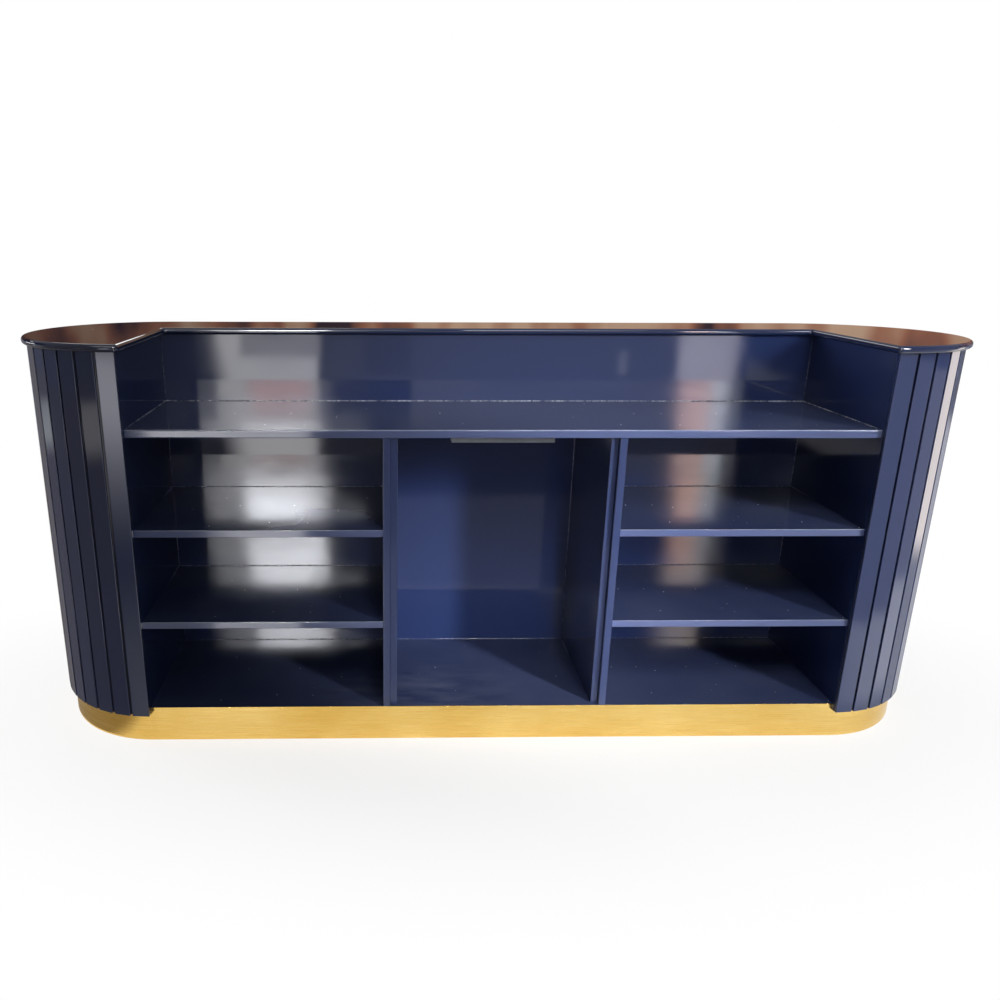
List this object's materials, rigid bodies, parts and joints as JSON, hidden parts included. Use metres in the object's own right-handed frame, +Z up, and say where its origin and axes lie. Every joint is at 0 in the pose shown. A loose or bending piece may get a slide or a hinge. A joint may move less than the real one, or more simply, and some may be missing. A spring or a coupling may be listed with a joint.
{
  "type": "information counter",
  "caption": "Free-standing reception counter with round slatted ends, a raised U-shaped top, a recessed staff worktop over open shelf bays and a gold plinth band.",
  "frame": {"origin": "on the floor under the middle of the counter", "axes": "+X along the counter to the right as staff see it, +Y from the staff to the customers, +Z up"},
  "size_m": [2.3996, 0.61, 1.03],
  "materials": {
    "navy_lacquer": "high-gloss navy lacquer on board",
    "raw_board": "raw fibreboard, hidden",
    "gold_band": "gold-coloured stainless, brushed along its length",
    "dark_bar": "satin dark grey paint"
  },
  "bodies": {
    "root": {"counter_top": "navy_lacquer", "worktop": "navy_lacquer", "back_panel": "navy_lacquer", "wing_panel_left": "navy_lacquer", "wing_panel_right": "navy_lacquer", "divider_left": "navy_lacquer", "divider_right": "navy_lacquer", "knee_cheek_left": "navy_lacquer", "knee_cheek_right": "navy_lacquer", "shelf_left_lower": "navy_lacquer", "shelf_left_upper": "navy_lacquer", "shelf_right_lower": "navy_lacquer", "shelf_right_upper": "navy_lacquer", "base_board": "navy_lacquer", "slats_left": "navy_lacquer", "slats_right": "navy_lacquer", "slats_front": "navy_lacquer", "end_skin_left": "navy_lacquer", "end_skin_right": "navy_lacquer", "front_skin": "navy_lacquer", "end_formers_left": "raw_board", "end_formers_right": "raw_board", "wall_ribs": "raw_board", "wall_top_rail": "raw_board", "plinth_end_left": "raw_board", "plinth_end_right": "raw_board", "plinth_rail_staff": "raw_board", "plinth_rail_customer": "raw_board", "plinth_cross_rails": "raw_board", "loose_tongues": "raw_board", "plinth_band_staff": "gold_band", "plinth_band_customer": "gold_band", "plinth_band_left": "gold_band", "plinth_band_right": "gold_band", "worktop_batten": "dark_bar"}
  },
  "joints": []
}
